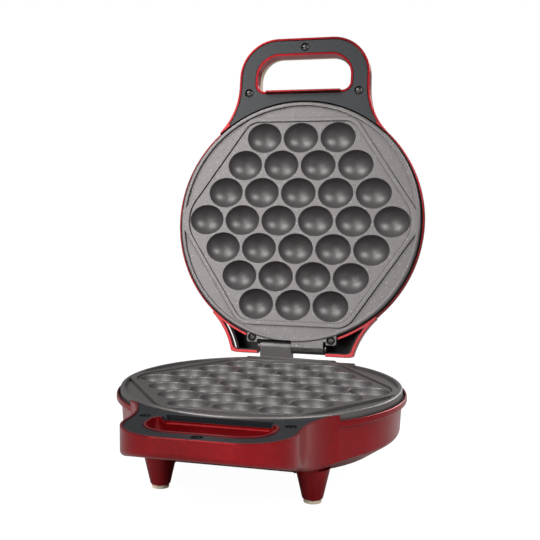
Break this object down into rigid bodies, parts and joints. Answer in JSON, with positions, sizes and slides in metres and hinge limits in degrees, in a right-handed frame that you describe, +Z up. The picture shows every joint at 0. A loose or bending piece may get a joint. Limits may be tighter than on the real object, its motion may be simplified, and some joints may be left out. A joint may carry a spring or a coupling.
{
  "type": "egg waffle iron",
  "caption": "Electric egg waffle iron: two hinged cast plates with staggered oval pits in red casings, each with a loop handle, on four legs.",
  "frame": {"origin": "on the table, at the middle of the open iron's footprint", "axes": "+X to the right, +Y to the back where the hinge is, +Z up; the handle of the base points along -Y"},
  "size_m": [0.206, 0.326, 0.3225],
  "materials": {
    "red_shell": "metallic candy red enamel, glossy",
    "handle_grey": "dark grey moulded plastic, satin",
    "screw_black": "blackened steel",
    "plate_coating": "cast aluminium with a speckled dark non-stick coating",
    "heater_steel": "stainless heater tube, matt",
    "sheet_steel": "plain steel sheet",
    "switch_ceramic": "white ceramic, matt",
    "terminal_plastic": "white nylon",
    "pin_steel": "ground steel",
    "gland_rubber": "black rubber",
    "pad_rubber": "cream rubber",
    "cream_plastic": "cream moulded plastic, soft sheen",
    "red_lens": "clear red plastic",
    "green_lens": "clear green plastic",
    "lamp_glass": "neon lamp glass"
  },
  "bodies": {
    "base": {"lower_shell": "red_shell", "lower_handle_insert": "handle_grey", "lower_handle_screws": "screw_black", "lower_plate": "plate_coating", "lower_plate_screws": "screw_black", "lower_heater": "heater_steel", "lower_heater_clips": "sheet_steel", "lower_reflector": "sheet_steel", "lower_reflector_posts": "sheet_steel", "thermostat": "switch_ceramic", "lower_thermal_fuse": "sheet_steel", "terminal_block": "terminal_plastic", "cord_clamp": "terminal_plastic", "cord_clamp_screws": "pin_steel", "cord_gland": "gland_rubber", "foot_pad_front_left": "pad_rubber", "foot_pad_front_right": "pad_rubber", "foot_pad_rear_left": "pad_rubber", "foot_pad_rear_right": "pad_rubber", "hinge_pin": "pin_steel"},
    "lid": {"upper_shell": "red_shell", "top_cover": "cream_plastic", "upper_handle_insert": "handle_grey", "upper_handle_screws": "screw_black", "upper_plate": "plate_coating", "upper_plate_screws": "screw_black", "upper_heater": "heater_steel", "upper_heater_clips": "sheet_steel", "upper_reflector": "sheet_steel", "upper_reflector_posts": "sheet_steel", "upper_thermal_fuse": "sheet_steel", "power_lens": "red_lens", "ready_lens": "green_lens", "power_lamp": "lamp_glass", "ready_lamp": "lamp_glass"}
  },
  "joints": [
    {"name": "lid_hinge", "type": "hinge", "parent": "base", "child": "lid", "pos_m": [0, 0.09527, 0.068], "axis": [1, 0, 0], "range_deg": [0, 101.4]}
  ]
}
